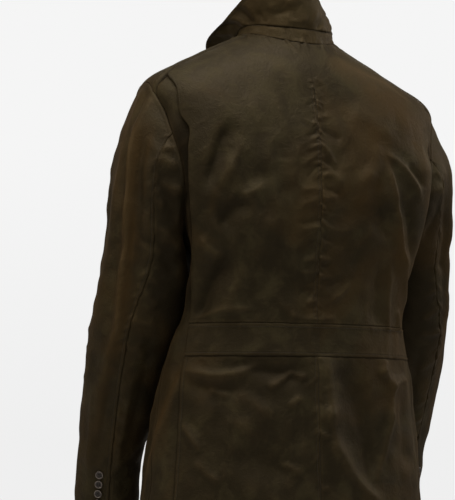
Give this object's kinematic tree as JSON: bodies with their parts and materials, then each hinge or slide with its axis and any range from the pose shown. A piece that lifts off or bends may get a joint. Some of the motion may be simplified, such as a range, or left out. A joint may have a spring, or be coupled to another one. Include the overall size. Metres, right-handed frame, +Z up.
{
  "type": "waxed cotton jacket",
  "caption": "Worn, hollow waxed cotton jacket with a turned-up collar, side-pleated back, sewn-in back waist band, flared skirt and buttoned front and cuffs.",
  "frame": {"origin": "middle of the neck opening at the height of the neck points, where the jacket rests on the wearer's shoulders", "axes": "+Z up along the wearer, the jacket faces -Y, the wearer's left is +X"},
  "size_m": [0.5812, 0.3496, 0.8485],
  "materials": {
    "waxed_cotton": "waxed, semi-matte",
    "buttons": "dark horn, polished rim"
  },
  "bodies": {
    "root": {"back_left": "waxed_cotton", "back_right": "waxed_cotton", "collar_fall": "waxed_cotton", "collar_stand": "waxed_cotton", "front_left": "waxed_cotton", "front_right": "waxed_cotton", "side_left": "waxed_cotton", "side_right": "waxed_cotton", "skirt_back_left": "waxed_cotton", "skirt_back_right": "waxed_cotton", "top_sleeve_left": "waxed_cotton", "top_sleeve_right": "waxed_cotton", "under_sleeve_left": "waxed_cotton", "under_sleeve_right": "waxed_cotton", "waist_band": "waxed_cotton", "cuff_button_left_1": "buttons", "cuff_button_left_2": "buttons", "cuff_button_left_3": "buttons", "cuff_button_left_4": "buttons", "cuff_button_right_1": "buttons", "cuff_button_right_2": "buttons", "cuff_button_right_3": "buttons", "cuff_button_right_4": "buttons", "front_button_1": "buttons", "front_button_2": "buttons", "front_button_3": "buttons", "front_button_4": "buttons", "front_button_5": "buttons"}
  },
  "joints": []
}
